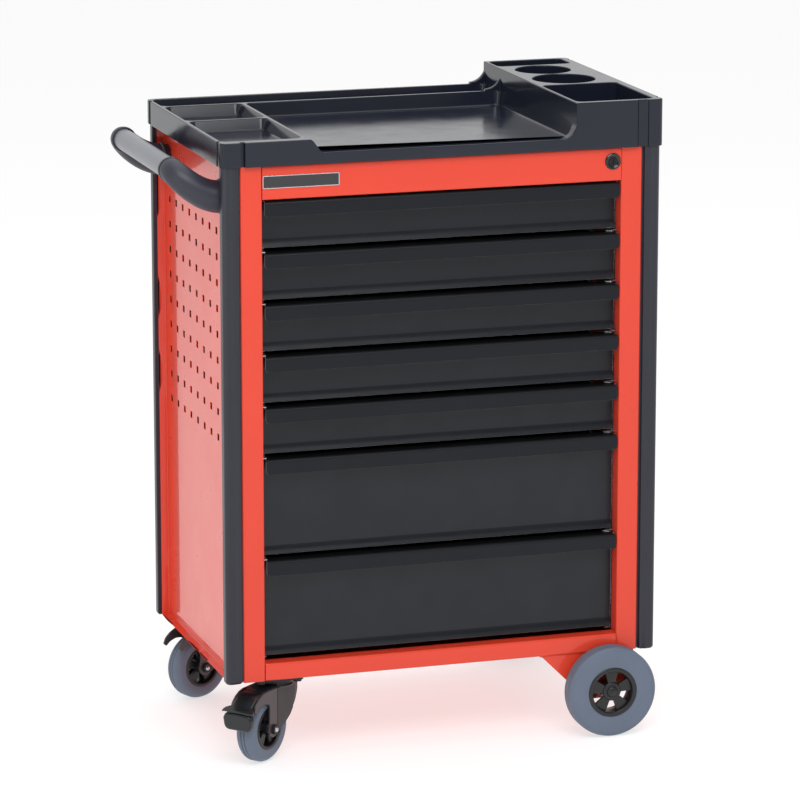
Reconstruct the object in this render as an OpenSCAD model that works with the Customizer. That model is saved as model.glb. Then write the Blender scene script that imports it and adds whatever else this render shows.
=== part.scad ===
// Rolling tool cabinet: a painted steel carcass with seven drawers on telescopic runners,
// a moulded worktop tray, a push handle, two outboard wheels and two swivel casters.
// Modules are drawn from the lower left corner of the front frame, +X right, +Y back, +Z up.
// place() then puts the middle of the whole cabinet's footprint at the origin, on the floor.

/* [Cabinet] */
// Width of the painted front frame
frame_w = 604; // [560:2:640]
// Height of the painted front frame
frame_h = 755; // [753:1:758]
// Depth over the front frame and the rear panel
body_d = 408; // [400:1:420]
// Height of the frame's lower edge above the floor
floor_gap = 123; // [123:1:126]
// Width of each upright of the front frame
jamb_w = 32.5; // [30:0.5:34]
// Height of the rail above the drawers
top_rail_h = 49; // [46:1:50]
// Height of the rail below the drawers
bottom_rail_h = 26; // [20:1:28]
// Thickness of the sheet steel
sheet = 1.5; // [1:0.1:2]
// How far a side panel lies outside the frame's edge
side_out = 9; // [8:0.5:10]
// Depth of the recess around a side panel
side_recess = 9; // [6:0.5:10]

/* [Perforation] */
// Side of a square hole
hole_size = 10; // [8:0.5:12]
// Distance between neighbouring holes
hole_pitch = 38; // [36:1:40]
// Holes along a row, and rows
hole_count = 9; // [5:1:9]
// Height of the lowest row above the frame's lower edge
hole_low_z = 344; // [300:1:360]

/* [Drawers] */
// Height of one drawer module
module_h = 75; // [74:1:75]
// Modules that each drawer takes, from the top drawer down
drawer_modules = [1, 1, 1, 1, 1, 2, 2];
// Gap between one drawer front and the next
front_gap = 5; // [4:0.5:6]
// Gap between a drawer front and the frame at each side
front_side_gap = 2; // [1.5:0.5:3]
// How far a drawer front is set back behind its grip lip
front_recess = 22.5; // [20:0.5:23]
// Height of the grip lip
lip_h = 22.5; // [18:0.5:24]
// Width of the space for a telescopic runner
runner_w = 12.7; // [12.7:0.1:13.5]
// Length of a drawer box
box_d = 352; // [320:2:352]

/* [Worktop] */
// How far the tray overhangs the frame at each side
tray_over = 29.5; // [28:0.5:31]
// How far the tray overhangs the frame at the front and back
tray_front = 8; // [6:0.5:10]
// Height of the tray's rim above the frame
rim_h = 36; // [34:1:40]
// Height of the tray's low front rim above the frame
low_rim_h = 17; // [15:1:20]
// Height of the can block above the frame
block_h = 69; // [60:1:75]
// Radius of the front and rear can holes
can_r = [47, 42];

/* [Handle] */
// Distance of the handle tube from the frame's edge
handle_out = 83; // [75:1:90]
// Height of the handle tube above the frame's lower edge
handle_z = 745; // [740:1:750]
// Radius of the handle tube
handle_r = 15.5; // [12:0.5:17]

/* [Wheels] */
// Radius of the outboard wheels
wheel_r = 68; // [62:1:68]
// Width of the outboard wheels
wheel_w = 29; // [24:1:30]
// Radius of the caster wheels
caster_r = 50; // [46:1:50]
// Width of the caster wheels
caster_w = 32; // [26:1:32]
// Distance from a caster's swivel axis to its wheel's axle
caster_trail = 35; // [25:1:36]
// Direction in which each caster trails at rest, front then rear
caster_angle = [220.5, 201.7];

/* [Hidden] */
$fn = 48;

red = [0.93, 0.30, 0.22];
anthracite = [0.17, 0.19, 0.21];
post_grey = [0.22, 0.23, 0.28];
tray_black = [0.15, 0.16, 0.20];
tyre_grey = [0.42, 0.46, 0.51];
hub_black = [0.08, 0.08, 0.09];
zinc = [0.72, 0.73, 0.75];
fork_grey = [0.25, 0.24, 0.25];

wheel_clear = 2;                       // between an outboard wheel and the frame's face
caster_x = 57;
caster_y = [39, body_d - 39];
slack = 0.05;                          // radial clearance of a running fit
inside_z = [bottom_rail_h, frame_h - top_rail_h];
return_d = front_recess + 0.3;         // depth of the frame's folded returns
collar_r = handle_r + 3;
seam = 0.05;                           // butt joint between the frame's uprights and rails
x_low = -handle_out - collar_r;
x_high = frame_w + tray_over;
pedal_far = 99;                        // reach of the brake pedal from the swivel axis
pedal_half = 24;
y_high = body_d + wheel_w + wheel_clear;
y_low = caster_y[0] + pedal_far * sin(caster_angle[0]) + pedal_half * cos(caster_angle[0]);

// Corner posts: one shape, mirrored to the four corners
post_w = 23.5;
post_gap = 3;
post_proud = 4;
post_depth = 14;
post_corner_r = 7;

// Telescopic runners: fixed rail, middle member and the runner welded to the drawer box
runner_y = [26, 378];
rail_half_h = 17.5;
middle_half_h = 14.8;
inner_half_h = 11.5;
runner_from_front = 12;                 // height of the runner's middle above its front's lower edge

// Drawer fronts and boxes
top_gap = 2;
foot_h = 12;                           // height of the front's flared foot
foot_out = 6;
box_from_front = 4;
box_rim_drop = 12;
box_x = [jamb_w - 0.5 + runner_w, frame_w - jamb_w + 0.5 - runner_w];
box_y = [front_recess + sheet, front_recess + sheet + box_d];

function modules_above(n) = n == 0 ? 0 : drawer_modules[n - 1] + modules_above(n - 1);
function front_top(n) = inside_z[1] - top_gap - module_h * modules_above(n);
function front_h(n) = drawer_modules[n] * module_h - front_gap;
function front_low(n) = front_top(n) - front_h(n);

// Worktop
deck_z = frame_h;
rim_z = frame_h + rim_h;
low_rim_z = frame_h + low_rim_h;
block_z = frame_h + block_h;
floor_z = frame_h + 14;
side_floor_z = frame_h + 19;
well_floor_z = frame_h + 4;
divider_x = [94, 104];
block_x = 500;
block_inner = [506, 620];
centre_y = [5, 333.5];
trough_y = [342, 394];
can_centre = [[559, 216.5], [558.5, 309]];

// Outboard wheels and their axle
wheel_x = 556.5;
wheel_z = wheel_r - floor_gap;
wheel_near = -wheel_clear;
axle_r = 6;
hub_rim_r = 37.5;
bracket_y = 3;
bracket_t = 3;

// Casters, measured from the floor below the swivel axis
plate_t = 3;
plate_half = 35;
race_low = floor_gap - plate_t - 6;
king_r = 6;
fork_top = race_low - 0.4;
leg_in = 18.5;
leg_t = 3;
caster_axle_r = 4;
pedal_x = 58;
pedal_z = 99;

// ---------------------------------------------------------------- helpers

module place() translate([-(x_low + x_high) / 2, -(y_low + y_high) / 2, floor_gap]) children();

module box(low, high) translate(low) cube(high - low);

// A cylinder along +Y between two places
module bar_y(x, z, r, y0, y1) translate([x, y0, z]) rotate([-90, 0, 0]) cylinder(r = r, h = y1 - y0);

// A rectangle with four round corners
module round_rect(low, high, r) {
  translate([low[0] + r, low[1]]) square([high[0] - low[0] - 2 * r, high[1] - low[1]]);
  translate([low[0], low[1] + r]) square([high[0] - low[0], high[1] - low[1] - 2 * r]);
  for (x = [low[0] + r, high[0] - r], y = [low[1] + r, high[1] - r]) translate([x, y]) circle(r);
}

module pocket(low, high, r, z0, z1) translate([0, 0, z0]) linear_extrude(z1 - z0) round_rect(low, high, r);

// An outline in the YZ plane, drawn along X
module along_x(x0, x1) translate([x0, 0, 0]) rotate([90, 0, 90]) linear_extrude(x1 - x0) children();

// An outline in the XZ plane, drawn along Y
module along_y(y0, y1) translate([0, y1, 0]) rotate([90, 0, 0]) linear_extrude(y1 - y0) children();

module mirrored_x() translate([frame_w, 0, 0]) mirror([1, 0, 0]) children();

module mirrored_y() translate([0, body_d, 0]) mirror([0, 1, 0]) children();

function arc(c, r, a0, a1, n = 6) =
  [for (i = [0:n]) let (a = a0 + (a1 - a0) * i / n) [c[0] + r * cos(a), c[1] + r * sin(a)]];

// A solid of revolution about the Y axis through [x, z], with its outline as [radius, y]
module turned_y(x, z) translate([x, 0, z]) rotate([-90, 0, 0]) rotate_extrude() children();

// ---------------------------------------------------------------- carcass

module jamb() {
  box([0, 0, 0], [jamb_w, sheet, frame_h]);
  box([jamb_w - sheet, 0, 0], [jamb_w, return_d, frame_h]);
  box([0, 0, 0], [sheet, post_depth, frame_h]);
}

module rail(z0, z1) {
  x0 = jamb_w + seam;
  x1 = frame_w - jamb_w - seam;
  box([x0, 0, z0], [x1, sheet, z1]);
  box([x0, 0, z0], [x1, return_d, z0 + sheet]);
  box([x0, 0, z1 - sheet], [x1, return_d, z1]);
}

lock_x = 558.3;
lock_z = 735;
lock_barrel_r = 9.4;

module front_frame() color(red) {
  jamb();
  mirrored_x() jamb();
  rail(0, inside_z[0]);
  difference() {
    rail(inside_z[1], frame_h);
    bar_y(lock_x, lock_z, lock_barrel_r, -1, sheet + 1);
  }
}

side_y = [post_depth + 0.5, body_d - post_depth - 0.5];

module side_panel() {
  web_x = -side_out;
  edge_x = -side_out - side_recess;
  box([edge_x, side_y[0], 0], [web_x + sheet, side_y[0] + sheet, frame_h]);
  box([edge_x, side_y[1] - sheet, 0], [web_x + sheet, side_y[1], frame_h]);
  box([edge_x, side_y[0] + sheet, 0], [web_x + sheet, side_y[1] - sheet, sheet]);
  box([edge_x, side_y[0] + sheet, frame_h - sheet], [web_x + sheet, side_y[1] - sheet, frame_h]);
  hole_y = body_d / 2 - (hole_count - 1) / 2 * hole_pitch + 7;
  translate([web_x, 0, 0]) rotate([90, 0, 90]) linear_extrude(sheet) difference() {
    translate([side_y[0] + sheet, sheet]) square([side_y[1] - side_y[0] - 2 * sheet, frame_h - 2 * sheet]);
    for (i = [0:hole_count - 1], k = [0:hole_count - 1])
      translate([hole_y + i * hole_pitch, hole_low_z + k * hole_pitch]) square(hole_size, center = true);
  }
}

module left_side_panel() color(red) side_panel();

module right_side_panel() color(red) mirrored_x() side_panel();

module rear_panel() color(red) {
  rib = 8;
  box([0, body_d - sheet, 0], [frame_w, body_d, frame_h]);
  box([0, body_d - post_depth, 0], [sheet, body_d - sheet, frame_h]);
  box([frame_w - sheet, body_d - post_depth, 0], [frame_w, body_d - sheet, frame_h]);
  for (z = [frame_h / 3, frame_h * 2 / 3])
    box([60, body_d - sheet - rib, z - rib], [frame_w - 60, body_d - sheet, z + rib]);
}

pan_x = [-side_out + sheet, frame_w + side_out - sheet];

module base_pan() color(red)
  box([pan_x[0], return_d, 0], [pan_x[1], body_d - post_depth - 1, 2.5]);

module top_deck() color(red)
  box([pan_x[0], return_d, frame_h - 2.5], [pan_x[1], body_d - post_depth - 1, frame_h]);

// Extruded corner trim: a rounded outer corner, a bevel beside the frame and a tongue against it
module post_outline() {
  x0 = -post_gap - post_w;
  y0 = -post_proud;
  polygon(concat(
    arc([x0 + post_corner_r, y0 + post_corner_r], post_corner_r, 180, 270),
    [[-post_gap - 9.5, y0], [-post_gap - 4.5, y0 + 2], [-post_gap, y0 + 2], [-post_gap, 3], [0, 3],
     [0, post_depth], [x0, post_depth]]));
}

module post() color(post_grey) translate([0, 0, -1]) linear_extrude(frame_h + 1) post_outline();

module post_front_left() post();

module post_front_right() mirrored_x() post();

module post_rear_left() mirrored_y() post();

module post_rear_right() mirrored_x() mirrored_y() post();

// ---------------------------------------------------------------- runners

module upright() {
  x0 = -side_out + sheet;
  x1 = jamb_w - 0.5;
  box([x1 - sheet, 0, 2.5], [x1, 30, frame_h - 2.5]);
  box([x0, 0, 2.5], [x1, sheet, frame_h - 2.5]);
  box([x0, 30 - sheet, 2.5], [x1, 30, frame_h - 2.5]);
}

module runner_uprights() color(zinc)
  for (y = [28, 346]) translate([0, y, 0]) {
    upright();
    mirrored_x() upright();
  }

// A channel open towards +X, with its web's outer face at x
module channel(x, depth, half_h, t, y0, y1) {
  box([x, y0, -half_h], [x + t, y1, half_h]);
  for (z = [-half_h, half_h - t]) box([x, y0, z], [x + depth, y1, z + t]);
}

runner_x = jamb_w - 0.5;

module at_runner(n) translate([0, 0, front_low(n) + runner_from_front]) {
  children();
  mirrored_x() children();
}

module runner_rails() color(zinc)
  for (n = [0:len(drawer_modules) - 1]) at_runner(n)
    channel(runner_x, 9.5, rail_half_h, 1.5, runner_y[0], runner_y[1]);

module drawer_slides(n) color(zinc) at_runner(n)
  channel(runner_x + 2.7, 7.5, middle_half_h, 1.3, runner_y[0] + 2, runner_y[1] - 2);

module inner_runner() {
  x1 = runner_x + runner_w;
  box([x1 - 1.5, box_y[0], -inner_half_h], [x1, box_y[1], inner_half_h]);
  for (z = [-inner_half_h, inner_half_h - 1.5]) box([x1 - 7, box_y[0], z], [x1, box_y[1], z + 1.5]);
}

// ---------------------------------------------------------------- drawers

module drawer_box(n) color(anthracite) {
  z0 = front_low(n) + box_from_front;
  z1 = front_top(n) - box_rim_drop;
  difference() {
    box([box_x[0], box_y[0], z0], [box_x[1], box_y[1], z1]);
    box([box_x[0] + sheet, box_y[0] + sheet, z0 + sheet], [box_x[1] - sheet, box_y[1] - sheet, z1 + 1]);
  }
  at_runner(n) inner_runner();
}

// Folded front: grip lip, top flange, recessed face and a foot that flares forward
module front_outline(h) {
  r = 5;
  y1 = front_recess;
  polygon(concat(
    [[0, -lip_h]], arc([r, -r], r, 180, 90), [[y1 + sheet, 0], [y1 + sheet, -h], [y1 - foot_out, -h]],
    [[y1, -h + foot_h], [y1, -sheet]], arc([r, -r], r - sheet, 90, 180), [[sheet, -lip_h]]));
}

module drawer_front(n) color(anthracite) translate([0, 0, front_top(n)])
  along_x(jamb_w + front_side_gap, frame_w - jamb_w - front_side_gap) front_outline(front_h(n));

// ---------------------------------------------------------------- badge and lock

module badge_plate() color(zinc)
  translate([jamb_w + 0.5, 0, 722.5]) along_y(-1.2, 0) round_rect([0, 0], [113, 18.5], 2);

module lock_housing() color(hub_black) difference() {
  union() {
    bar_y(lock_x, lock_z, 12, -2.5, 0);
    bar_y(lock_x, lock_z, lock_barrel_r - 0.02, 0, 14);
  }
  bar_y(lock_x, lock_z, 7, -4, 16);
}

module lock_cylinder() color(hub_black) {
  difference() {
    bar_y(lock_x, lock_z, 7 - slack, -3, 17);
    box([lock_x - 0.8, -4, lock_z - 4], [lock_x + 0.8, 3, lock_z + 4]);
  }
  box([lock_x - 5, 14.5, lock_z - 13], [lock_x + 5, 17, lock_z + 5]);
}

// ---------------------------------------------------------------- worktop tray

s_curve_x = [100, 118];
block_fillet = 15;

// The S-shaped step down of the front rim and the fillet up to the can block
module low_rim_cut() {
  rise = rim_z - low_rim_z;
  span = s_curve_x[1] - s_curve_x[0];
  step = [for (i = [0:8]) let (t = i / 8)
    [s_curve_x[0] + span * t, rim_z - rise * (1 - cos(180 * t)) / 2]];
  polygon(concat(
    [[s_curve_x[0], block_z + 5]], step,
    arc([block_x - block_fillet, low_rim_z + block_fillet], block_fillet, 270, 360, 8),
    [[block_x, block_z + 5]]));
}

// The ramp where the rear rims run up to the can block
module rim_ramp(y0, y1) along_y(y0, y1)
  polygon(concat([[block_x + 2, rim_z - 5], [block_x + 2, block_z - 4]],
    arc([block_x - 24, block_z - 4], 26, 0, -90, 8), [[block_x - 24, rim_z - 5]]));

module top_tray() color(tray_black) {
  y0 = -tray_front;
  y1 = body_d + tray_front;
  left_in = -15;
  difference() {
    union() {
      pocket([-tray_over, y0], [x_high, y1], 9, deck_z, rim_z);
      intersection() {
        pocket([-tray_over, y0], [x_high, y1], 9, deck_z, block_z);
        box([block_x, y0 - 1, deck_z], [x_high + 1, y1 + 1, block_z]);
      }
      rim_ramp(centre_y[1], trough_y[0]);
      rim_ramp(trough_y[1] + 2, y1);
    }
    along_y(y0 - 1, centre_y[0] + 0.01) low_rim_cut();
    pocket([divider_x[1], centre_y[0]], [block_x, centre_y[1]], 8, floor_z, block_z + 1);
    pocket([left_in, 12], [divider_x[0], 194.4], 6, side_floor_z, rim_z + 1);
    pocket([left_in, 204], [divider_x[0], centre_y[1]], 6, side_floor_z, rim_z + 1);
    pocket([left_in, trough_y[0]], [block_x, trough_y[1]], 8, well_floor_z, block_z + 1);
    pocket([block_inner[0], 3], [block_inner[1], 161], 8, well_floor_z, block_z + 1);
    pocket([block_inner[0], 358], [block_inner[1], 400], 8, well_floor_z, block_z + 1);
    for (i = [0, 1]) translate([can_centre[i][0], can_centre[i][1], well_floor_z])
      cylinder(r = can_r[i], h = block_h);
    pocket([divider_x[1] + 4, centre_y[0] + 6], [block_x - 8, centre_y[1] - 4], 8, deck_z - 1, floor_z - 4);
    pocket([-6, 24], [divider_x[0] - 2, centre_y[1] - 4], 6, deck_z - 1, side_floor_z - 4);
  }
}

// ---------------------------------------------------------------- handle

elbow_start = [-side_out - side_recess - 0.5, 39.5, 708];
elbow_end_y = 64;
elbow_path = [
  elbow_start, elbow_start + [-34, 0, 0],
  [-handle_out, elbow_end_y - 28, handle_z], [-handle_out, elbow_end_y, handle_z]];
elbow_r = [24, 17.5];
elbow_rings = 16;
elbow_sides = 24;

function bezier(p, t) =
  pow(1 - t, 3) * p[0] + 3 * pow(1 - t, 2) * t * p[1] + 3 * (1 - t) * t * t * p[2] + t * t * t * p[3];
function bezier_way(p, t) =
  3 * pow(1 - t, 2) * (p[1] - p[0]) + 6 * (1 - t) * t * (p[2] - p[1]) + 3 * t * t * (p[3] - p[2]);
function unit(v) = v / norm(v);

module elbow() {
  rings = [for (i = [0:elbow_rings]) let (
    t = i / elbow_rings, c = bezier(elbow_path, t), way = unit(bezier_way(elbow_path, t)),
    side = unit(cross([0, 0, 1], way)), up = cross(way, side),
    r = elbow_r[0] + (elbow_r[1] - elbow_r[0]) * t)
    [for (k = [0:elbow_sides - 1]) let (a = 360 * k / elbow_sides) c + r * (cos(a) * side + sin(a) * up)]];
  points = [for (ring = rings, p = ring) p];
  m = elbow_sides;
  polyhedron(points, concat(
    [[for (k = [0:m - 1]) k]],
    [for (i = [0:elbow_rings - 1], k = [0:m - 1])
      [i * m + k, (i + 1) * m + k, (i + 1) * m + (k + 1) % m, i * m + (k + 1) % m]],
    [[for (k = [m - 1:-1:0]) elbow_rings * m + k]]));
}

module handle_elbow() color(hub_black) {
  elbow();
  translate(elbow_start - [1, 0, 0]) rotate([0, 90, 0]) cylinder(r = 21, h = side_recess + 1.5);
}

module handle_elbow_front() handle_elbow();

module handle_elbow_rear() mirrored_y() handle_elbow();

module handle_tube() color(zinc) difference() {
  bar_y(-handle_out, handle_z, handle_r, elbow_end_y, body_d - elbow_end_y);
  bar_y(-handle_out, handle_z, handle_r - sheet, elbow_end_y - 1, body_d - elbow_end_y + 1);
}

module handle_collar() difference() {
  bar_y(-handle_out, handle_z, collar_r, elbow_end_y, elbow_end_y + 6);
  bar_y(-handle_out, handle_z, handle_r, elbow_end_y - 1, elbow_end_y + 7);
}

module handle_collars() color(hub_black) {
  handle_collar();
  mirrored_y() handle_collar();
}

// ---------------------------------------------------------------- outboard wheels

module wheel_bracket() color(red) {
  along_y(bracket_y, bracket_y + bracket_t) difference() {
    polygon([[455, 0], [527, -72], [575, -72], [600, -47], [600, 0]]);
    translate([wheel_x, wheel_z]) circle(axle_r);
  }
  box([455, bracket_y + bracket_t, -bracket_t], [600, bracket_y + 30, 0]);
}

module wheel_bracket_front() wheel_bracket();

module wheel_bracket_rear() mirrored_y() wheel_bracket();

wheel_far = wheel_near - wheel_w;

module wheel_axle() color(zinc)
  bar_y(wheel_x, wheel_z, axle_r, wheel_far + 4, body_d - wheel_far - 4);

module axle_cap() turned_y(wheel_x, wheel_z)
  polygon(concat([[0, wheel_far + 4], [9, wheel_far + 4]], arc([0, wheel_far + 4], 9, 0, -25, 4),
    [[4, wheel_far], [0, wheel_far]]));

module wheel_axle_caps() color(hub_black) {
  axle_cap();
  mirrored_y() axle_cap();
}

// A tyre outline with rounded shoulders, from radius r0 to r1, over y0 to y1
module tyre_outline(r0, r1, y0, y1, shoulder) polygon(concat(
  [[r0, y1], [r0, y0]],
  arc([r1 - shoulder, y0 + shoulder], shoulder, 270, 360, 8),
  arc([r1 - shoulder, y1 - shoulder], shoulder, 0, 90, 8)));

// A spoked hub: bored boss, rim and five spokes around the Y axis through the origin
module hub(rim_out, rim_in, boss_r, bore_r, y0, y1, boss_y0, boss_y1) {
  ring_y(rim_out, rim_in, y0, y1);
  ring_y(boss_r, bore_r, boss_y0, boss_y1);
  difference() {
    ring_y(rim_in + 0.5, boss_r - 0.5, y0 + 6, y1 - 6);
    for (a = [54:72:342]) rotate([0, a, 0]) translate([0, y0, 0]) along_y(0, y1 - y0 + 1)
      polygon(concat(arc([0, 0], rim_in - 1, -18, 18), arc([0, 0], boss_r + 1, 14, -14)));
  }
}

module ring_y(r_out, r_in, y0, y1) difference() {
  bar_y(0, 0, r_out, y0, y1);
  bar_y(0, 0, r_in, y0 - 1, y1 + 1);
}

module at_wheel() translate([wheel_x, 0, wheel_z]) children();

module wheel_tyre() color(tyre_grey)
  turned_y(wheel_x, wheel_z) tyre_outline(hub_rim_r, wheel_r, wheel_far, wheel_near, 5);

module wheel_hub() color(hub_black) at_wheel()
  hub(hub_rim_r, 30.5, 14, axle_r + slack, wheel_far + 1.5, wheel_near - 1, wheel_far + 4.4, wheel_near);

module wheel_front_tyre() wheel_tyre();

module wheel_front_hub() wheel_hub();

module wheel_rear_tyre() mirrored_y() wheel_tyre();

module wheel_rear_hub() mirrored_y() wheel_hub();

// ---------------------------------------------------------------- swivel casters

module at_caster(i) translate([caster_x, caster_y[i], -floor_gap]) children();

module caster_mounts() color(zinc) for (i = [0, 1]) at_caster(i) {
  translate([0, 0, floor_gap - plate_t]) linear_extrude(plate_t) difference() {
    round_rect([-plate_half, -plate_half], [plate_half, plate_half], 6);
    for (x = [-27, 27], y = [-27, 27]) translate([x, y]) circle(4);
  }
  translate([0, 0, race_low]) cylinder(r = 26, h = floor_gap - plate_t - race_low);
  translate([0, 0, 101.5]) cylinder(r = king_r, h = race_low - 101.5);
  translate([0, 0, 101.5]) cylinder(r = 9, h = 3.5);
}

module caster_bolts() color(zinc) for (i = [0, 1], x = [-27, 27], y = [-27, 27])
  at_caster(i) translate([x, y, floor_gap - plate_t]) {
    cylinder(r = 4, h = plate_t);
    translate([0, 0, -3.5]) cylinder(r = 6.5, h = 3.5, $fn = 6);
  }

module leg_outline() {
  polygon([[-28, 110], [-28, 96], [-22, 80], [-8, 62], [26, 42], [46, 47], [44, 88], [52, 92], [62, 92.5],
    [72, 89], [79, 83], [84, 87], [80, 96], [72, 103], [62, 108], [52, 110], [40, 110]]);
  translate([caster_trail, caster_r]) circle(12);
}

module fork() difference() {
  union() {
    for (y = [-leg_in - leg_t, leg_in]) along_y(y, y + leg_t) leg_outline();
    box([-28, -leg_in - 0.5, 106], [36, leg_in + 0.5, 110]);
    translate([0, 0, 106]) cylinder(r = 28, h = fork_top - 106);
  }
  translate([0, 0, 100]) cylinder(r = king_r + slack, h = 20);
  bar_y(caster_trail, caster_r, caster_axle_r, -30, 30);
  bar_y(pedal_x, pedal_z - 1, 2.5, -30, 30);
}

module caster_fork(i) color(fork_grey) at_caster(i) rotate(caster_angle[i]) fork();

module caster_axle(i) color(zinc) at_caster(i) rotate(caster_angle[i]) {
  bar_y(caster_trail, caster_r, caster_axle_r, -leg_in - leg_t, leg_in + leg_t);
  for (y = [-leg_in - leg_t - 5, leg_in + leg_t]) bar_y(caster_trail, caster_r, 7.5, y, y + 5, $fn = 6);
}

module caster_tyre(i) color(tyre_grey) at_caster(i) rotate(caster_angle[i])
  turned_y(caster_trail, caster_r) tyre_outline(31, caster_r, -caster_w / 2, caster_w / 2, 9);

module caster_hub(i) color(hub_black) at_caster(i) rotate(caster_angle[i])
  translate([caster_trail, 0, caster_r])
    hub(31, 26, 11, caster_axle_r + slack, -14, 14, -17.5, 17.5);

// Foot brake: a hinged hood with a pedal block behind the tyre
module pedal() {
  pin = 2.5 - slack;
  bar_y(pedal_x, pedal_z - 1, pin, -leg_in - leg_t, leg_in + leg_t);
  along_y(-leg_in + 1, leg_in - 1) polygon([[50, 99], [51, 108], [62, 107], [72, 102.5], [80, 97],
    [90, 91], [pedal_far, 88], [pedal_far, 60], [90, 60], [89, 84], [80, 90], [62, 94.5], [54, 97]]);
  along_y(-pedal_half, pedal_half) polygon([[90, 60], [pedal_far, 60], [pedal_far, 86], [89, 86]]);
}

module caster_pedal(i) color(hub_black) at_caster(i) rotate(caster_angle[i]) pedal();

// ---------------------------------------------------------------- drawing

place() front_frame();
place() left_side_panel();
place() right_side_panel();
place() rear_panel();
place() base_pan();
place() top_deck();
place() post_front_left();
place() post_front_right();
place() post_rear_left();
place() post_rear_right();
place() runner_uprights();
place() runner_rails();
place() top_tray();
place() badge_plate();
place() lock_housing();
place() lock_cylinder();
for (n = [0:len(drawer_modules) - 1]) {
  place() drawer_box(n);
  place() drawer_front(n);
  place() drawer_slides(n);
}
place() handle_tube();
place() handle_elbow_front();
place() handle_elbow_rear();
place() handle_collars();
place() wheel_bracket_front();
place() wheel_bracket_rear();
place() wheel_axle();
place() wheel_axle_caps();
place() wheel_front_tyre();
place() wheel_front_hub();
place() wheel_rear_tyre();
place() wheel_rear_hub();
place() caster_mounts();
place() caster_bolts();
place() caster_fork(0);  // caster_front_fork
place() caster_axle(0);  // caster_front_axle
place() caster_tyre(0);  // caster_front_tyre
place() caster_hub(0);  // caster_front_hub
place() caster_pedal(0);  // caster_front_pedal
place() caster_fork(1);  // caster_rear_fork
place() caster_axle(1);  // caster_rear_axle
place() caster_tyre(1);  // caster_rear_tyre
place() caster_hub(1);  // caster_rear_hub
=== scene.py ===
import math

import bmesh
import bpy
from mathutils import Matrix, Vector


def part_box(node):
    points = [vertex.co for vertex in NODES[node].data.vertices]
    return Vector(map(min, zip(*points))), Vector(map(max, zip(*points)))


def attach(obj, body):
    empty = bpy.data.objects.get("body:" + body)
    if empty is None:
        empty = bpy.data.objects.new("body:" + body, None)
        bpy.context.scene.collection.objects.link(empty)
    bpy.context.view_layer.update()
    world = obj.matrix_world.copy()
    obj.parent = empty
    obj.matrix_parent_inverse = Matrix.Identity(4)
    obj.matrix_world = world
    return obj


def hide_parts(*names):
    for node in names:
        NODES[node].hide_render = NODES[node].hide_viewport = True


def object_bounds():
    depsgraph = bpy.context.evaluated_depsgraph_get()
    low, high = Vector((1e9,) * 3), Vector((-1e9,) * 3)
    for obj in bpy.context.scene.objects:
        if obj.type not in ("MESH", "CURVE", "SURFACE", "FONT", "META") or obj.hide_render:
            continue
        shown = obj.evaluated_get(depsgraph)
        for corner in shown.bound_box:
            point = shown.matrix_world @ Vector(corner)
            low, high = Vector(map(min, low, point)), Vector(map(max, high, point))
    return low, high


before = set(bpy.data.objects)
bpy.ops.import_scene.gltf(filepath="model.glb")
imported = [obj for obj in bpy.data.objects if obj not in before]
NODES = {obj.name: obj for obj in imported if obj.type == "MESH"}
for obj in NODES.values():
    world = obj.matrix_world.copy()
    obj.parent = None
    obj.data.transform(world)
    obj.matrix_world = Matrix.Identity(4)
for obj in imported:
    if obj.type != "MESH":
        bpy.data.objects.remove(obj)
CAD_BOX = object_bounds()
MM = 0.001
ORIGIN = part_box("front_frame")[0]        # lower left corner of the painted front

# Sizes of the cabinet, in millimetres from that corner: +X right, +Y back, +Z up
FRAME_W, FRAME_H, BODY_D, FLOOR_GAP = 604, 755, 408, 123
JAMB_W, TOP_RAIL, BOTTOM_RAIL, SHEET = 32.5, 49, 26, 1.5
RETURN_D, POST_D = 22.8, 14
LIP_TOPS = [704, 629, 554, 479, 404, 329, 179]
FRONT_H = [70] * 5 + [145] * 2
RIM_Z, LOW_RIM_Z, BLOCK_Z, BLOCK_X = 791, 772, 824, 500
LOCK_X, LOCK_Z = 558.3, 735
WHEEL_X, WHEEL_Z, WHEEL_R = 556.5, -55, 68
CASTER_X, CASTER_Y, CASTER_ANGLE = 57, (39, 369), (220.5, 201.7)
TRAIL, CASTER_R = 35, 50


# ------------------------------------------------------------------ outlines and meshes

def arc(centre, r, a0, a1, n=6):
    steps = (math.radians(a0 + (a1 - a0) * i / n) for i in range(n + 1))
    return [(centre[0] + r * math.cos(a), centre[1] + r * math.sin(a)) for a in steps]


def fillet(points, radii, n=5):
    """The outline with each corner rounded by its own radius."""
    out = []
    for i, p in enumerate(points):
        r = radii[i] if hasattr(radii, "__len__") else radii
        p, a, b = Vector(p), Vector(points[i - 1]), Vector(points[(i + 1) % len(points)])
        u, v = (a - p).normalized(), (b - p).normalized()
        half = u.angle(v) / 2
        if r <= 0 or half > math.radians(88):
            out.append(tuple(p))
            continue
        run = min(r / math.tan(half), 0.49 * (a - p).length, 0.49 * (b - p).length)
        r = run * math.tan(half)
        c = p + (u + v).normalized() * (r / math.sin(half))
        s, e = p + u * run - c, p + v * run - c
        turn = math.atan2(s.x * e.y - s.y * e.x, s.dot(e))
        for k in range(n + 1):
            q = Matrix.Rotation(turn * k / n, 2) @ s
            out.append(tuple(c + q))
    return out


def lift(axis, u, v, a):
    return {"x": (a, u, v), "y": (u, a, v), "z": (u, v, a)}[axis]


def skin(rings, caps=True, around=True, loop=False):
    """Verts and faces between equal rings of points."""
    n, count = len(rings[0]), len(rings)
    verts = [p for ring in rings for p in ring]
    faces = []
    for i in range(count if loop else count - 1):
        a, b = i * n, (i + 1) % count * n
        for k in range(n if around else n - 1):
            j = (k + 1) % n
            faces.append((a + k, a + j, b + j, b + k))
    if caps and not loop:
        faces += [tuple(range(n))[::-1], tuple(range((count - 1) * n, count * n))]
    return verts, faces


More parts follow.
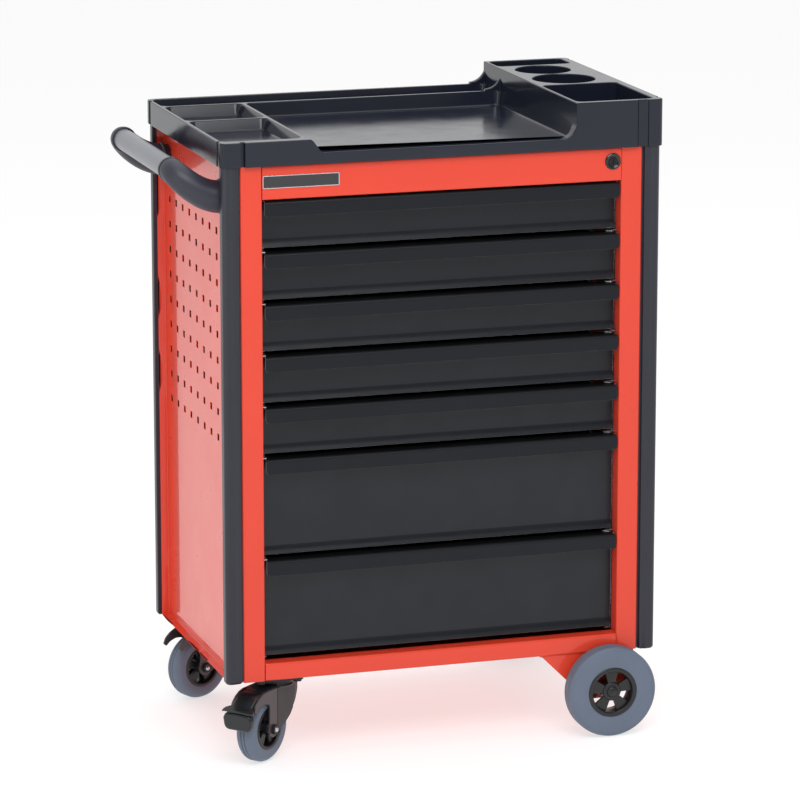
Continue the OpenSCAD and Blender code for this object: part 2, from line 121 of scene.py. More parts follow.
def prism(outline, axis, a0, a1):
    return skin([[lift(axis, u, v, a) for u, v in outline] for a in (a0, a1)])


def lathe(profile, centre, axis="y", sides=72, closed=False):
    """A profile of (radius, place along the axis), turned about the axis through centre."""
    rings = []
    for i in range(sides):
        t = 2 * math.pi * i / sides
        rings.append([lift(axis, centre[0] + r * math.cos(t), centre[1] + r * math.sin(t), a)
                      for r, a in profile])
    return skin(rings, around=closed, loop=True)


def sweep(path, radii, sides=32, squash=1.0):
    """A tube along a path, one radius to each point, with flat ends."""
    rings, side = [], None
    for i, p in enumerate(path):
        way = (path[min(i + 1, len(path) - 1)] - path[max(i - 1, 0)]).normalized()
        side = (side - way * side.dot(way) if side else way.orthogonal()).normalized()
        up = way.cross(side)
        ring = []
        for k in range(sides):
            t = 2 * math.pi * k / sides
            ring.append(tuple(p + radii[i] * (math.cos(t) * side + squash * math.sin(t) * up)))
        rings.append(ring)
    return skin(rings)


def both(*parts):
    """Several (verts, faces) as one."""
    verts, faces = [], []
    for v, f in parts:
        faces += [tuple(i + len(verts) for i in face) for face in f]
        verts += v
    return verts, faces


def mirrored(shape, axis, total):
    """The shape mirrored in X or Y about the middle of a width."""
    k = "xyz".index(axis)
    verts = [tuple(total - c if i == k else c for i, c in enumerate(p)) for p in shape[0]]
    return verts, [face[::-1] for face in shape[1]]


def pan(us, vs, place, rim, gaps=(), rise=None):
    """A web on grid lines with holes in it, and rim rows of (out, up) folded up all round."""
    nu, nv = len(us), len(vs)
    verts = [place(u, v, rise(u, v) if rise else 0) for v in vs for u in us]
    faces = [(j * nu + i, j * nu + i + 1, (j + 1) * nu + i + 1, (j + 1) * nu + i)
             for j in range(nv - 1) for i in range(nu - 1) if (i, j) not in gaps]
    edge = [(i, 0) for i in range(nu)] + [(nu - 1, j) for j in range(1, nv)]
    edge += [(i, nv - 1) for i in range(nu - 2, -1, -1)] + [(0, j) for j in range(nv - 2, 0, -1)]
    last = [j * nu + i for i, j in edge]
    for out, up in rim:
        row = []
        for i, j in edge:
            du, dv = (i == nu - 1) - (i == 0), (j == nv - 1) - (j == 0)
            row.append(len(verts))
            verts.append(place(us[i] + du * out, vs[j] + dv * out, up))
        faces += [(last[k - 1], row[k - 1], row[k], last[k]) for k in range(len(edge))]
        last = row
    return verts, faces


def lined(values, low, high, half):
    """Grid lines from low to high with a pair of lines around each value."""
    return [low] + [v + s * half for v in values for s in (-1, 1)] + [high]


def at_caster(i):
    c, s = (f(math.radians(CASTER_ANGLE[i])) for f in (math.cos, math.sin))

    def spot(p):
        x, y, z = p
        return CASTER_X + c * x - s * y, CASTER_Y[i] + s * x + c * y, z - FLOOR_GAP
    return spot


def smooth_normals(ob, bevel, steps, limit):
    if bevel:
        m = ob.modifiers.new("edges", "BEVEL")
        m.width, m.segments, m.angle_limit = bevel * MM, steps, math.radians(limit)
        m.use_clamp_overlap = bevel < 1
        m.miter_outer = "MITER_ARC"
    m = ob.modifiers.new("normals", "WEIGHTED_NORMAL")
    m.keep_sharp = True


def piece(name, shape, look, body, nodes=(), slot=None, spot=None, sheet=0.0, inside=None,
          bevel=0.0, steps=2, limit=35, sharp=None, more=(), which=None):
    """One visible piece from verts and faces in millimetres. A sheet is thickened towards inside.
    more names further looks, which picks one per face; the last is a sheet's cut edge."""
    verts = [ORIGIN + Vector(spot(p) if spot else p) * MM for p in shape[0]]
    mesh = bpy.data.meshes.new(name)
    mesh.from_pydata(verts, [], shape[1])
    bm = bmesh.new()
    bm.from_mesh(mesh)
    bmesh.ops.remove_doubles(bm, verts=bm.verts, dist=2e-6)
    if not sheet:
        bmesh.ops.recalc_face_normals(bm, faces=bm.faces)
    for f in bm.faces:
        f.smooth = True
    bm.to_mesh(mesh)
    bm.free()
    for finish in (look, *more):
        mesh.materials.append(LOOKS[finish])
    if which:
        for f in mesh.polygons:
            f.material_index = which(f.center - ORIGIN)
    ob = bpy.data.objects.new(name, mesh)
    bpy.context.scene.collection.objects.link(ob)
    if sharp:
        mesh.set_sharp_from_angle(angle=math.radians(sharp))
    if sheet:
        f = mesh.polygons[0]
        goal = ORIGIN + Vector(spot(inside) if spot else inside) * MM
        m = ob.modifiers.new("sheet", "SOLIDIFY")
        m.thickness, m.use_even_offset = sheet * MM, True
        m.offset = 1 if f.normal.dot(goal - f.center) > 0 else -1
        m.material_offset_rim = len(more)
    smooth_normals(ob, bevel, steps, limit)
    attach(ob, body)
    slot or look
    if nodes:
        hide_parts(*nodes)
    return ob


def carve(base, tools):
    """The base mesh with solids added or taken away, as (operation, shape) rows."""
    def solid(shape):
        mesh = bpy.data.meshes.new("tool")
        mesh.from_pydata([Vector(p) for p in shape[0]], [], shape[1])
        bm = bmesh.new()
        bm.from_mesh(mesh)
        bmesh.ops.remove_doubles(bm, verts=bm.verts, dist=1e-3)
        bmesh.ops.recalc_face_normals(bm, faces=bm.faces)
        bm.to_mesh(mesh)
        bm.free()
        ob = bpy.data.objects.new("tool", mesh)
        bpy.context.scene.collection.objects.link(ob)
        return ob
    ob, used = solid(base), []
    for operation, shape in tools:
        tool = solid(shape)
        m = ob.modifiers.new("cut", "BOOLEAN")
        m.solver, m.operation, m.object = "EXACT", operation, tool
        used.append(tool)
    bpy.context.view_layer.update()
    done = ob.evaluated_get(bpy.context.evaluated_depsgraph_get()).to_mesh()
    bm = bmesh.new()
    bm.from_mesh(done)
    bmesh.ops.remove_doubles(bm, verts=bm.verts, dist=0.01)
    bmesh.ops.dissolve_limit(bm, angle_limit=math.radians(0.5), verts=bm.verts, edges=bm.edges)
    bm.verts.ensure_lookup_table()
    shape = [tuple(v.co) for v in bm.verts], [tuple(v.index for v in f.verts) for f in bm.faces]
    bm.free()
    for o in [ob, *used]:
        mesh = o.data
        bpy.data.objects.remove(o)
        bpy.data.meshes.remove(mesh)
    return shape


# ------------------------------------------------------------------ materials

def srgb(r, g, b):
    lin = [c / 255 / 12.92 if c <= 10 else ((c / 255 + 0.055) / 1.055) ** 2.4 for c in (r, g, b)]
    return (*lin, 1.0)


class Graph:
    """A material's nodes, wired from the object's own coordinates."""

    def __init__(self, name):
        self.mat = bpy.data.materials.new(name)
        self.mat.use_nodes = True
        self.nodes, self.links = self.mat.node_tree.nodes, self.mat.node_tree.links
        self.shader = self.nodes["Principled BSDF"]
        self.where = self.nodes.new("ShaderNodeTexCoord").outputs["Object"]

    def add(self, kind, inputs=None, **settings):
        node = self.nodes.new(kind)
        for key, value in settings.items():
            setattr(node, key, value)
        for key, value in (inputs or {}).items():
            if isinstance(value, bpy.types.NodeSocket):
                self.links.new(value, node.inputs[key])
            else:
                node.inputs[key].default_value = value
        return node

    def noise(self, scale, detail=2.0, rough=0.5, stretch=None):
        where = self.where
        if stretch:
            where = self.add("ShaderNodeMapping", {"Vector": where, "Scale": stretch}).outputs[0]
        node = self.add("ShaderNodeTexNoise", {"Vector": where, "Scale": scale, "Detail": detail,
                                               "Roughness": rough})
        return node.outputs["Fac"]

    def span(self, value, low, high, a=0.3, b=0.7):
        node = self.add("ShaderNodeMapRange", {"Value": value, "From Min": a, "From Max": b,
                                               "To Min": low, "To Max": high})
        return node.outputs[0]

    def mix(self, factor, a, b):
        node = self.add("ShaderNodeMix", data_type="RGBA")
        for socket, value in ((node.inputs[0], factor), (node.inputs[6], a), (node.inputs[7], b)):
            if isinstance(value, bpy.types.NodeSocket):
                self.links.new(value, socket)
            else:
                socket.default_value = value
        return node.outputs[2]

    def bump(self, height, distance, strength=1.0, under=None):
        inputs = {"Height": height, "Distance": distance * MM, "Strength": strength}
        if under:
            inputs["Normal"] = under
        return self.add("ShaderNodeBump", inputs).outputs[0]


def surface(name, colour, rough, metal=0.0, tint=0.08, tint_scale=14, rough_step=0.06,
            grains=((900, 0.02),), edge_wear_and_highlight=None, edge_wear_and_highlight_from=0.56, coat=0.0, coat_rough=0.04,
            specular=0.5, stretch=None, dust=0.0):
    """A finish: mottled colour, uneven roughness, layers of fine relief and lightened edges that
    are part wear, part painted highlight.
    A grain is (scale per metre, height in millimetres)."""
    g = Graph(name)
    base = srgb(*colour)
    pale = tuple(min(1, c * (1 + tint)) for c in base[:3]) + (1,)
    deep = tuple(c * (1 - tint) for c in base[:3]) + (1,)
    shade = g.mix(g.span(g.noise(tint_scale, 4, 0.6), 0, 1), deep, pale)
    if dust:
        specks = g.span(g.noise(420, 3, 0.7), 0, dust, 0.62, 0.8)
        shade = g.mix(specks, shade, srgb(150, 150, 150))
    # Edges found by pointiness are lightened: part wear, part painted highlight along the rounded
    # edges.
    if edge_wear_and_highlight:
        edge = g.add("ShaderNodeNewGeometry").outputs["Pointiness"]
        edge = g.span(edge, 0, 1, edge_wear_and_highlight_from - 0.04, edge_wear_and_highlight_from + 0.04)
        worn_and_lit_edge = g.add("ShaderNodeMath", {0: edge, 1: g.span(g.noise(160, 3), 0.3, 1)},
                       operation="MULTIPLY").outputs[0]
        shade = g.mix(worn_and_lit_edge, shade, srgb(*edge_wear_and_highlight))
    g.links.new(shade, g.shader.inputs["Base Color"])
    uneven = g.noise(tint_scale * 3, 5, 0.65, stretch)
    g.links.new(g.span(uneven, rough - rough_step, rough + rough_step),
                g.shader.inputs["Roughness"])
    normal = None
    for scale, height in grains:
        normal = g.bump(g.noise(scale, 2, 0.5, stretch), height, 1.0, normal)
    if normal:
        g.links.new(normal, g.shader.inputs["Normal"])
        if coat:
            g.links.new(normal, g.shader.inputs["Coat Normal"])
    g.shader.inputs["Metallic"].default_value = metal
    g.shader.inputs["Coat Weight"].default_value = coat
    g.shader.inputs["Coat Roughness"].default_value = coat_rough
    g.shader.inputs["Specular IOR Level"].default_value = specular
    return g.mat


LOOKS = {
    "red_paint": surface("red_paint", (222, 66, 44), 0.3, tint=0.03, tint_scale=5, coat=0.55,
                         coat_rough=0.04, grains=((420, 0.005), (1500, 0.002)),
                         rough_step=0.04, specular=0.15),
    "drawer_paint": surface("drawer_paint", (17, 22, 29), 0.34, tint=0.10, tint_scale=9,
                            grains=((1300, 0.014), (3200, 0.006)), specular=0.40,
                            edge_wear_and_highlight=(100, 102, 108), edge_wear_and_highlight_from=0.62),
    # A darker copy of the drawer paint: painted shade on each lip and foot.
    "drawer_paint_shaded": surface("drawer_paint_shaded", (12, 16, 24), 0.4, tint=0.08, tint_scale=9,
                          grains=((1300, 0.014), (3200, 0.006)), specular=0.28,
                          edge_wear_and_highlight=(60, 64, 70), edge_wear_and_highlight_from=0.68),
    # Near black: painted shade on the folded top flange in the gap over each lip.
    "drawer_fold_shade": surface("drawer_fold_shade", (6, 7, 9), 0.5, specular=0.15,
                           grains=((1300, 0.014),)),
    "drawer_edge": surface("drawer_edge", (150, 152, 152), 0.35, tint=0.2, tint_scale=60,
                           grains=((1800, 0.012),), specular=0.5),
    "post_plastic": surface("post_plastic", (32, 32, 44), 0.38, tint=0.08,
                            grains=((2200, 0.010),), edge_wear_and_highlight=(92, 95, 104), edge_wear_and_highlight_from=0.58,
                            stretch=(1, 1, 0.15)),
    # The pale edge colour here is mostly painted highlight along the tray's rounded rims.
    "tray_plastic": surface("tray_plastic", (27, 31, 43), 0.15, tint=0.10, tint_scale=8,
                            grains=((500, 0.004), (2600, 0.003)), edge_wear_and_highlight=(132, 134, 146),
                            edge_wear_and_highlight_from=0.64, rough_step=0.04, specular=0.38),
    "badge": surface("badge", (26, 27, 32), 0.16, grains=((800, 0.004),), coat=0.6),
    "badge_edge": surface("badge_edge", (205, 207, 212), 0.2, metal=0.9, grains=((900, 0.004),)),
    "lock_black": surface("lock_black", (10, 10, 12), 0.2, coat=0.3, grains=((1500, 0.005),),
                          edge_wear_and_highlight=(90, 90, 95), edge_wear_and_highlight_from=0.62),
    "lock_core": surface("lock_core", (26, 24, 28), 0.3, metal=0.4, grains=((2500, 0.006),)),
    "zinc": surface("zinc", (196, 199, 205), 0.3, metal=0.95, tint=0.14, tint_scale=60,
                    grains=((300, 0.01), (1800, 0.004)), rough_step=0.1),
    "tube_grey": surface("tube_grey", (116, 119, 125), 0.34, metal=0.15, tint=0.05,
                         grains=((2600, 0.006),), stretch=(1, 0.03, 1), specular=0.6),
    "elbow_plastic": surface("elbow_plastic", (42, 43, 56), 0.46, tint=0.08,
                             grains=((2400, 0.014),)),
    "tyre_rubber": surface("tyre_rubber", (98, 109, 126), 0.55, tint=0.06, tint_scale=22,
                           grains=((140, 0.03), (1900, 0.02)), dust=0.12, specular=0.4),
    "hub_plastic": surface("hub_plastic", (22, 22, 25), 0.36, tint=0.1, grains=((1800, 0.012),),
                           edge_wear_and_highlight=(80, 80, 86), edge_wear_and_highlight_from=0.6),
    "fork_steel": surface("fork_steel", (70, 64, 67), 0.32, tint=0.06, grains=((900, 0.012),),
                          metal=0.2, edge_wear_and_highlight=(120, 118, 120), edge_wear_and_highlight_from=0.62),
    # A darker copy of the fork steel: painted shade on the guard's curved leading face.
    "fork_steel_shaded": surface("fork_steel_shaded", (38, 39, 42), 0.34, tint=0.06, metal=0.2,
                           grains=((900, 0.012),), edge_wear_and_highlight=(100, 100, 104), edge_wear_and_highlight_from=0.62),
    # Dark: painted shade on the caster mounts and bolts under the cabinet, also used on the caster
    # axles.
    "steel_dark_for_shade": surface("steel_dark_for_shade", (34, 32, 35), 0.4, tint=0.1, metal=0.3,
                          grains=((900, 0.012),)),
    "pedal_plastic": surface("pedal_plastic", (20, 24, 27), 0.22, grains=((1500, 0.01),),
                             edge_wear_and_highlight=(80, 84, 88), edge_wear_and_highlight_from=0.6),
}
# The caster mounts and bolts get a dark look that paints the shade under the cabinet.
CARRIED_OVER = {"base_pan": "red_paint", "top_deck": "red_paint", "runner_uprights": "zinc",
                "runner_rails": "zinc", "wheel_axle": "zinc", "caster_mounts": "steel_dark_for_shade",
                "caster_bolts": "steel_dark_for_shade", "caster_front_axle": "steel_dark_for_shade",
                "caster_rear_axle": "steel_dark_for_shade",
                **{f"drawer_{n}_slides": "zinc" for n in range(1, len(LIP_TOPS) + 1)}}


# ------------------------------------------------------------------ painted cabinet

def front_frame():
    """Two uprights and two rails with folded edges, butted against each other."""
    fold = 3.0

    def channel(width, depth_a, depth_b):
        outer = [(0, depth_a), (0, 0), (width, 0), (width, depth_b)]
        return fillet(outer, [0, fold, fold, 0], 3)

    def bar(chain, a0, a1, turn):
        return skin([[turn(u, y, a) for u, y in chain] for a in (a0, a1)], caps=False,
                    around=False)
    jamb = channel(JAMB_W, POST_D, RETURN_D)
    rail = channel(TOP_RAIL, RETURN_D, RETURN_D)
    low = channel(BOTTOM_RAIL, RETURN_D, RETURN_D)
    x0, x1 = JAMB_W + 0.15, FRAME_W - JAMB_W - 0.15
    rows = [
        ("front_upright_left", bar(jamb, 0, FRAME_H, lambda u, y, a: (u, y, a)),
         (16, 9, 300)),
        ("front_upright_right", bar(jamb, 0, FRAME_H, lambda u, y, a: (FRAME_W - u, y, a)),
         (FRAME_W - 16, 9, 300)),
        ("front_rail_top", bar(rail, x0, x1, lambda u, y, a: (a, y, FRAME_H - u)),
         (300, 9, FRAME_H - 20)),
        ("front_rail_bottom", bar(low, x0, x1, lambda u, y, a: (a, y, u)), (300, 9, 13)),
    ]
    for name, shape, inside in rows:
        piece(name, shape, "red_paint", "cabinet",
              ["front_frame"] if name == "front_upright_left" else (), sheet=SHEET,
              inside=inside, bevel=0.35)


def side_panels():
    pitch, half, count, first_y, first_z = 38, 5, 9, 59, 344
    ys = [first_y + pitch * i for i in range(count)]
    zs = [first_z + pitch * i for i in range(count)]
    fold, out = 2.6, -7.5
    edge = [(fold * math.sin(math.radians(a)), -fold * (1 - math.cos(math.radians(a))))
            for a in (22, 45, 68, 90)]
    rim = edge + [(fold, out - 3 - fold), (fold, -18 - out)]
    us = lined(ys, POST_D + 0.5 + fold, BODY_D - POST_D - 0.5 - fold, half)
    vs = lined(zs, fold, FRAME_H - fold, half)
    gaps = {(1 + 2 * i, 1 + 2 * j) for i in range(count) for j in range(count)}
    shape = pan(us, vs, lambda u, v, w: (out + w, u, v), rim, gaps)
    piece("side_left", shape, "red_paint", "cabinet", ["left_side_panel"], sheet=SHEET,
          inside=(-30, 200, 200), bevel=0.4)
    piece("side_right", mirrored(shape, "x", FRAME_W), "red_paint", "cabinet",
          ["right_side_panel"], sheet=SHEET, inside=(FRAME_W + 30, 200, 200), bevel=0.4)


def rear_panel():
    """A folded sheet with two ribs pressed inwards."""
    fold, deep = 2.6, 8
    edge = [(fold * math.sin(math.radians(a)), fold * (1 - math.cos(math.radians(a))))
            for a in (22, 45, 68, 90)]
    ribs = [FRAME_H / 3, FRAME_H * 2 / 3]
    us = [fold, 60, 66, FRAME_W - 66, FRAME_W - 60, FRAME_W - fold]
    vs = [fold] + [r + s for r in ribs for s in (-9, -4, 4, 9)] + [FRAME_H - fold]

    def rise(u, v):
        return deep if 65 < u < FRAME_W - 65 and min(abs(v - r) for r in ribs) < 5 else 0
    shape = pan(us, vs, lambda u, v, w: (u, BODY_D - w, v), edge + [(fold, POST_D)],
                rise=rise)
    piece("back_panel", shape, "red_paint", "cabinet", ["rear_panel"], sheet=SHEET,
          inside=(300, 200, 300), bevel=1.4, steps=3, limit=25)
    screws = [(x, z) for x in (12, FRAME_W - 12) for z in (40, 215, 378, 540, 715)]
    dome = [(0, -2.2), (1.6, -2.1), (3.0, -1.5), (4.0, -0.4), (4.2, 0.4)]
    parts = [lathe([(r, BODY_D - a) for r, a in dome], (x, z), sides=20) for x, z in screws]
    piece("back_rivets", both(*parts), "zinc", "cabinet", sharp=40)


def posts():
    x0, y0 = -26.5, -4.0
    outline = arc((x0 + 7, y0 + 7), 7, 180, 270, 8)
    outline += [(-12.5, y0), (-11.2, y0 + 0.35), (-7.8, y0 + 1.8), (-6.6, y0 + 2), (-3.6, y0 + 2),
                (-3, y0 + 2.6), (-3, 3), (0, 3), (0, POST_D), (x0 + 1, POST_D), (x0, POST_D - 1)]
    middle = Vector((-14, 5))

    def ring(z, inset):
        row = []
        for p in outline:
            v = Vector(p) - middle
            row.append((*(middle + Vector((v.x * (1 - inset / 13), v.y * (1 - inset / 9)))), z))
        return row
    round_end = [(-1 + 4.5 * (1 - math.sin(math.radians(a))), 4.5 * (1 - math.cos(math.radians(a))))
                 for a in (90, 72, 54, 36, 18, 0)]
    shape = skin([ring(z, inset) for z, inset in round_end] + [ring(FRAME_H, 0)])
    for name, node, s in (("trim_front_left", "post_front_left", shape),
                          ("trim_front_right", "post_front_right", mirrored(shape, "x", FRAME_W)),
                          ("trim_rear_left", "post_rear_left", mirrored(shape, "y", BODY_D)),
                          ("trim_rear_right", "post_rear_right",
                           mirrored(mirrored(shape, "x", FRAME_W), "y", BODY_D))):
        piece(name, s, "post_plastic", "cabinet", [node], bevel=0.5, limit=28)


def badge_and_lock():
    def plate(grow, y0, y1):
        rect = [(33 - grow, 722.5 - grow), (146 + grow, 722.5 - grow),
                (146 + grow, 741 + grow), (33 - grow, 741 + grow)]
        return prism(fillet(rect, 2.0 + grow), "y", y0, y1)
    rim = carve(plate(0, -1.2, 0.1), [("DIFFERENCE", plate(-1.1, -2, -0.75))])
    piece("badge_rim", rim, "badge_edge", "cabinet", ["badge_plate"], slot="badge", bevel=0.25)
    piece("badge_field", plate(-1.0, -0.95, -0.5), "badge", "cabinet", bevel=0.1)
    c = (LOCK_X, LOCK_Z)
    housing = [(7.0, 14), (9.3, 14), (9.3, 0), (12.0, 0), (12.0, -0.9), (11.6, -1.9), (10.7, -2.5),
               (9.6, -2.4), (8.7, -1.6), (7.6, -1.4), (7.0, -1.0)]
    piece("lock_bezel", lathe(housing, c, closed=True), "lock_black", "cabinet",
          ["lock_housing"], sharp=32)
    core = lathe([(0, -1.7), (5.6, -1.7), (6.6, -1.4), (6.95, -0.8), (6.95, 14), (0, 14)], c,
                 sides=48)
    slot = prism([(c[0] - 0.9, c[1] - 4), (c[0] + 0.9, c[1] - 4), (c[0] + 0.9, c[1] + 4),
                  (c[0] - 0.9, c[1] + 4)], "y", -4, -0.2)
    wide = prism(arc((c[0], c[1]), 1.9, 0, 330, 11), "y", -4, -0.3)
    piece("lock_core_face", carve(core, [("DIFFERENCE", slot), ("DIFFERENCE", wide)]),
          "lock_core", "lock_barrel", ["lock_cylinder"], sharp=32)
    cam = fillet([(c[0] - 5, c[1] - 13), (c[0] + 5, c[1] - 13), (c[0] + 5, c[1] + 5),
                  (c[0] - 5, c[1] + 5)], 4.5)
    piece("lock_cam", prism(cam, "y", 14.5, 17), "zinc", "lock_barrel", slot="lock_core",
          bevel=0.3)


# ------------------------------------------------------------------ drawers

def front_sheet(top, h):
    """The folded front: grip lip, top flange, recessed face and a foot that flares forward."""
    lip, face, r, left, right = 22.5, 24.0, 5.0, 6.0, 2.5
    x0, x1 = JAMB_W + 3, FRAME_W - JAMB_W - 2

    rows = []
    for a in (0, 22, 45, 68, 90):
        s, c = math.sin(math.radians(a)), math.cos(math.radians(a))
        rows.append((0.0, -lip + left * (1 - c), left * (1 - s), right * (1 - s)))
    for y, z in arc((r, -r), r, 180, 90, 6):
        corner = 4.0 * (1 - math.sqrt(max(0, 1 - (z / r + 1) ** 2)))
        rows.append((y, z, 0.4 * corner, corner))
    rows += [(y, z, 0, 0) for y, z in [(r + 3, 0)] + arc((face - 2, -2), 2, 90, 0, 4)]
    foot = 12.0
    rows.append((face, -h + foot, 0, 0))
    for a in (90, 66, 42, 20, 0):
        s, c = math.sin(math.radians(a)), math.cos(math.radians(a))
        z = -h + 3.6 * (1 - c)
        rows.append((face - 6 * (-h + foot - z) / foot, z, 3.6 * (1 - s), 3.6 * (1 - s)))
    rings = [[(x0 + a, y, top + z), (x1 - b, y, top + z)] for y, z, a, b in rows]
    return skin(rings, caps=False, around=False)


def drawer_box(top, h):
    z0, z1, fold, gauge = top - h + 4, top - 12, 2.5, 1.0
    x0, x1, y0, y1 = 44.8, 559.2, 24.4, 376
    height = z1 - z0
    rim = [(fold * math.sin(math.radians(a)), fold * (1 - math.cos(math.radians(a))))
           for a in (30, 60, 90)]
    rim += [(fold, height - 1.6), (fold - 0.5, height - 0.5), (fold - 1.6, height),
            (fold - 4.6, height), (fold - 5.7, height - 0.5), (fold - 6.2, height - 1.6),
            (fold - 6.2, height - 7)]
    us = [x0 + fold + 6, x0 + 120, x0 + 257, x1 - 120, x1 - fold - 6]
    vs = [y0 + fold + 6, y0 + 118, y0 + 236, y1 - fold - 6]
    us, vs = [x0 + fold] + us + [x1 - fold], [y0 + fold] + vs + [y1 - fold]
    return pan(us, vs, lambda u, v, w: (u, v, z0 + w), rim), (300, 200, z0 + 30), gauge


def inner_runner(top, h):
    mid, x, half, depth = top - h + 12, 44.7, 11.5, 7
    chain = fillet([(x - depth, -half), (x, -half), (x, half), (x - depth, half)],
                   [0, 1.8, 1.8, 0], 3)
    side = skin([[(u, y, mid + v) for u, v in chain] for y in (24.6, 375)], caps=False,
                around=False)
    return side, (x - 3, 200, mid)


def front_look(top, h):
    """Picks a front's look for a face: 0 the panel, 1 the lip and the foot in a darker copy of the
    paint as painted shade, 2 the folded top in near black as painted shade.
    """
    lip_depth, fold_h, foot_h = 1, 3, 11

    def which(p):
        down = top - p.z / MM
        if p.y < lip_depth * MM or down > h - foot_h:
            return 1
        return 2 if down < fold_h else 0
    return which


def drawers():
    for n, (top, h) in enumerate(zip(LIP_TOPS, FRONT_H), 1):
        body = f"drawer_{n}"
        # The lip and foot take a darker copy of the paint and the top fold a near-black one, both
        # painted shade.
        piece(f"{body}_face", front_sheet(top, h), "drawer_paint", body, [f"{body}_front"],
              sheet=SHEET, inside=(300, 10, top - 20), bevel=0.4, which=front_look(top, h),
              more=("drawer_paint_shaded", "drawer_fold_shade", "drawer_edge"))
        shape, inside, gauge = drawer_box(top, h)
        piece(f"{body}_tub", shape, "drawer_paint", body, [f"{body}_box"], sheet=gauge,
              inside=inside, bevel=0.3)
        side, inside = inner_runner(top, h)
        other = mirrored(side, "x", FRAME_W)
        piece(f"{body}_runner_left", side, "zinc", body, sheet=1.2, inside=inside, bevel=0.25)
        piece(f"{body}_runner_right", other, "zinc", body, sheet=1.2,
              inside=(FRAME_W - inside[0], *inside[1:]), bevel=0.25)


def runner_tabs():
    """Small stops on both uprights, in the gap over each lip but the top one."""
    clear, thick = 0.6, 1.2
    plain = fillet([(32.6, 5), (38.6, 5), (38.6, 22), (32.6, 22)], [0, 2, 2, 0])
    hook = [(554, 15), (562, 10.5), (566, 13), (566, 19), (571.4, 19), (571.4, 22), (554, 22)]
    hook = fillet(hook, [2, 2, 2, 1, 0, 0, 2], 3)
    tabs = [prism(outline, "z", top + clear, top + clear + thick)
            for top in LIP_TOPS[1:] for outline in (plain, hook)]
    piece("runner_tabs", both(*tabs), "zinc", "cabinet", bevel=0.3)


# ------------------------------------------------------------------ worktop tray

def rect_ring(low, high, r, z, grow=0.0, n=6):
    x0, y0, x1, y1 = low[0] - grow, low[1] - grow, high[0] + grow, high[1] + grow
    r = max(r + grow, 0.8)
    ring = []
    for cx, cy, a in ((x1 - r, y1 - r, 0), (x0 + r, y1 - r, 90), (x0 + r, y0 + r, 180),
                      (x1 - r, y0 + r, 270)):
        ring += [(x, y, z) for x, y in arc((cx, cy), r, a, a + 90, n)]
    return ring


def tub(low, high, r, floor, draft=4.0, mouth=RIM_Z, foot=4.0):
    """A pocket to take away: its mouth, walls that lean in and a rounded foot."""
    turns = [math.radians(a) for a in (0, 18, 36, 54, 72, 90)]
    rings = [rect_ring(low, high, r, floor + foot * (1 - math.cos(t)),
                       -draft - foot * (1 - math.sin(t))) for t in turns]
    return skin(rings + [rect_ring(low, high, r, z) for z in (mouth, BLOCK_Z + 1)])


def block(low, high, r, z0, z1):
    return skin([rect_ring(low, high, r, z0), rect_ring(low, high, r, z1)])


def can_hole(x, y, r, floor, top, foot=5.0):
    turns = [math.radians(a) for a in (0, 18, 36, 54, 72, 90)]
    profile = [(0, floor)] + [(r - foot * (1 - math.sin(t)), floor + foot * (1 - math.cos(t)))
                              for t in turns]
    return lathe(profile + [(r, top), (0, top)], (x, y), "z", 64)


def rim_cut(y_to):
    """The front rim's S-shaped step down, and the round corner up to the can block."""
    step = []
    for i in range(11):
        t = i / 10
        step.append((101 + 20 * t, RIM_Z - (RIM_Z - LOW_RIM_Z) * (1 - math.cos(math.pi * t)) / 2))
    turn = arc((BLOCK_X - 24, LOW_RIM_Z + 24), 24, 270, 360, 10)
    outline = [(step[0][0], BLOCK_Z + 5)] + step + turn + [(BLOCK_X, BLOCK_Z + 5)]
    return prism(outline, "y", -10, y_to)


def rim_ramp(y0, y1):
    run = arc((BLOCK_X - 24, BLOCK_Z - 4), 26, 0, -90, 9)
    return prism([(BLOCK_X + 2, RIM_Z - 5), (BLOCK_X + 2, BLOCK_Z - 4)] + run[1:]
                 + [(BLOCK_X - 24, RIM_Z - 5)], "y", y0, y1)


def groove(low, high, r=2.0):
    return block(low, high, r, FRAME_H - 1, BLOCK_Z + 5)


